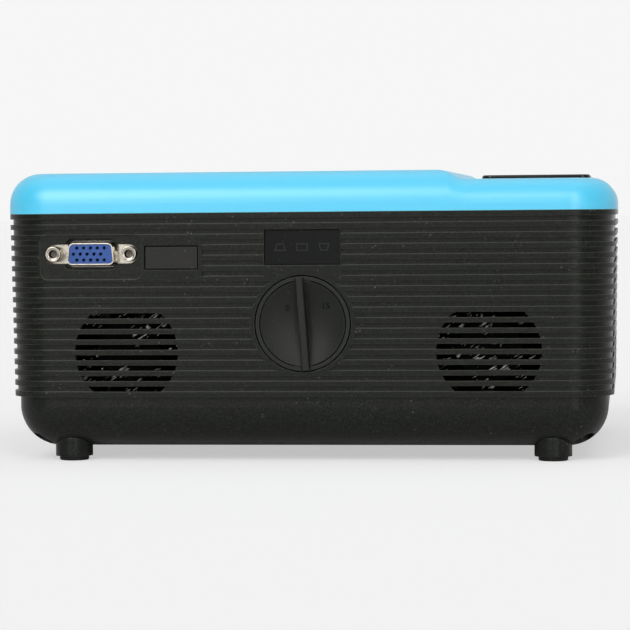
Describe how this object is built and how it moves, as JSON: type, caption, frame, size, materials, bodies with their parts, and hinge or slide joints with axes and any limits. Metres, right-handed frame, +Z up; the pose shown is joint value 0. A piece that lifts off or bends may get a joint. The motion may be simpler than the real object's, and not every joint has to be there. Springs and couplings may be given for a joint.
{
  "type": "mini projector with disc player",
  "caption": "Mini projector with a top-loading disc player: ribbed black case, blue stepped cover with a round disc lid, keystone dial, fan vents, video socket and focusing lens.",
  "frame": {"origin": "middle of the case in plan, at the plane that the feet stand on", "axes": "+Z up; -Y out of the back, with the video socket and keystone dial; +Y out of the lens; +X to the right seen from the back, towards the mains inlet"},
  "size_m": [0.202, 0.16, 0.0957],
  "materials": {
    "blue_plastic": "moulded sky-blue ABS with a soft satin gloss",
    "black_plastic": "moulded black ABS, spark-eroded fine texture",
    "grey_plastic": "moulded dark grey ABS",
    "dark_filter": "dark red-black infra-red filter, semi-gloss",
    "steel": "nickel-plated steel",
    "vga_blue": "blue moulded thermoplastic",
    "rubber": "black rubber",
    "brass": "turned brass",
    "aluminium": "extruded aluminium",
    "clear_glass": "polished glass with an anti-reflection coat",
    "clear_acrylic": "clear acrylic",
    "mirror_glass": "front-surface mirror",
    "turntable_black": "black acetal",
    "gloss_black": "high-gloss black acrylic",
    "key_grey": "satin black keys",
    "board_green": "green solder mask",
    "component_black": "moulded components",
    "speaker_black": "pressed steel and paper"
  },
  "bodies": {
    "root": {"bottom_case": "black_plastic", "top_cover": "blue_plastic", "disc_deck": "grey_plastic", "hinge_pins": "steel", "screws": "steel", "foot_collars": "black_plastic", "foot_pads": "rubber", "tripod_insert": "brass", "keystone_plate": "black_plastic", "ir_windows": "dark_filter", "vga_shell": "steel", "vga_insert": "vga_blue", "vga_jackscrews": "steel", "fan_frames": "black_plastic", "engine_lower_shell": "grey_plastic", "engine_upper_shell": "grey_plastic", "led_module": "aluminium", "led_heatsink": "aluminium", "condenser_lens": "clear_glass", "fresnel_lenses": "clear_acrylic", "lcd_panel": "clear_glass", "lens_mount": "grey_plastic", "lens_bezel": "black_plastic", "loader_chassis": "grey_plastic", "loader_dampers": "rubber", "guide_rods": "steel", "spindle_motor": "steel", "sled_motor": "steel", "control_panel": "gloss_black", "key_board": "board_green", "signal_boards": "board_green", "board_components": "component_black", "side_sockets": "steel", "audio_jacks": "grey_plastic", "power_board": "board_green", "mains_inlet": "grey_plastic", "speakers": "speaker_black"},
    "disc_lid": {"disc_lid": "blue_plastic"},
    "lid_latch": {"lid_latch": "blue_plastic"},
    "fan_rotor_left": {"fan_rotor_left": "black_plastic"},
    "fan_rotor_right": {"fan_rotor_right": "black_plastic"},
    "keystone_knob": {"keystone_knob": "black_plastic", "keystone_shaft": "grey_plastic"},
    "mirror_carrier": {"mirror_carrier": "grey_plastic", "fold_mirror": "mirror_glass"},
    "focus_ring": {"focus_ring": "black_plastic"},
    "lens_barrel": {"lens_barrel": "grey_plastic", "lens_glass": "clear_glass"},
    "turntable": {"turntable": "turntable_black"},
    "pickup": {"pickup": "grey_plastic"},
    "pickup_lens": {"pickup_lens": "clear_acrylic"},
    "sled_gear": {"sled_gear": "grey_plastic"},
    "key_power": {"key_power": "key_grey"},
    "key_source": {"key_source": "key_grey"},
    "key_ok": {"key_ok": "key_grey"},
    "key_up": {"key_up": "key_grey"},
    "key_down": {"key_down": "key_grey"},
    "key_left": {"key_left": "key_grey"},
    "key_right": {"key_right": "key_grey"}
  },
  "joints": [
    {"name": "lid_hinge", "type": "hinge", "parent": "root", "child": "disc_lid", "pos_m": [-0.026, -0.062, 0.0931], "axis": [1, 0, 0], "range_deg": [0, 75]},
    {"name": "lid_latch_push", "type": "slide", "parent": "root", "child": "lid_latch", "axis": [0, 0, -1], "range_m": [0, 0.0012], "stiffness_N_per_m": 900, "springref_m": -0.0006},
    {"name": "fan_spin_left", "type": "hinge", "parent": "root", "child": "fan_rotor_left", "pos_m": [-0.0597, -0.0737, 0.0365], "axis": [0, -1, 0], "continuous": true},
    {"name": "fan_spin_right", "type": "hinge", "parent": "root", "child": "fan_rotor_right", "pos_m": [0.0597, -0.0737, 0.0365], "axis": [0, -1, 0], "continuous": true},
    {"name": "keystone_turn", "type": "hinge", "parent": "root", "child": "keystone_knob", "pos_m": [-0.001, -0.079, 0.0458], "axis": [0, 1, 0], "range_deg": [-41, 49]},
    {"name": "mirror_tilt", "type": "hinge", "parent": "root", "child": "mirror_carrier", "pos_m": [0.02726, -0.00226, 0.044], "axis": [0.7071, 0.7071, 0], "range_deg": [-8, 9]},
    {"name": "focus_turn", "type": "hinge", "parent": "root", "child": "focus_ring", "pos_m": [0.025, 0.062, 0.044], "axis": [0, 1, 0], "range_deg": [0, 120]},
    {"name": "lens_travel", "type": "slide", "parent": "root", "child": "lens_barrel", "axis": [0, 1, 0], "range_m": [0, 0.00602]},
    {"name": "disc_spin", "type": "hinge", "parent": "root", "child": "turntable", "pos_m": [-0.026, -0.003, 0.0856], "axis": [0, 0, 1], "continuous": true},
    {"name": "pickup_travel", "type": "slide", "parent": "root", "child": "pickup", "axis": [1, 0, 0], "range_m": [0, 0.032]},
    {"name": "sled_gear_turn", "type": "hinge", "parent": "root", "child": "sled_gear", "pos_m": [0.006, 0.01835, 0.0734], "axis": [0, 0, 1], "range_deg": [0, 383]},
    {"name": "objective_float", "type": "slide", "parent": "pickup", "child": "pickup_lens", "axis": [0, 0, 1], "range_m": [-0.0004, 0.0004], "stiffness_N_per_m": 40},
    {"name": "key_power_push", "type": "slide", "parent": "root", "child": "key_power", "axis": [0, 0, -1], "range_m": [0, 0.0008], "stiffness_N_per_m": 700, "springref_m": -0.0004},
    {"name": "key_source_push", "type": "slide", "parent": "root", "child": "key_source", "axis": [0, 0, -1], "range_m": [0, 0.0008], "stiffness_N_per_m": 700, "springref_m": -0.0004},
    {"name": "key_ok_push", "type": "slide", "parent": "root", "child": "key_ok", "axis": [0, 0, -1], "range_m": [0, 0.0008], "stiffness_N_per_m": 700, "springref_m": -0.0004},
    {"name": "key_up_push", "type": "slide", "parent": "root", "child": "key_up", "axis": [0, 0, -1], "range_m": [0, 0.0008], "stiffness_N_per_m": 700, "springref_m": -0.0004},
    {"name": "key_down_push", "type": "slide", "parent": "root", "child": "key_down", "axis": [0, 0, -1], "range_m": [0, 0.0008], "stiffness_N_per_m": 700, "springref_m": -0.0004},
    {"name": "key_left_push", "type": "slide", "parent": "root", "child": "key_left", "axis": [0, 0, -1], "range_m": [0, 0.0008], "stiffness_N_per_m": 700, "springref_m": -0.0004},
    {"name": "key_right_push", "type": "slide", "parent": "root", "child": "key_right", "axis": [0, 0, -1], "range_m": [0, 0.0008], "stiffness_N_per_m": 700, "springref_m": -0.0004}
  ],
  "couplings": [
    {"joint": "mirror_tilt", "follows": "keystone_turn", "ratio": 0.16667},
    {"joint": "lens_travel", "follows": "focus_turn", "m_per_rad": 0.0028648},
    {"joint": "sled_gear_turn", "follows": "pickup_travel", "rad_per_m": 208.33}
  ]
}
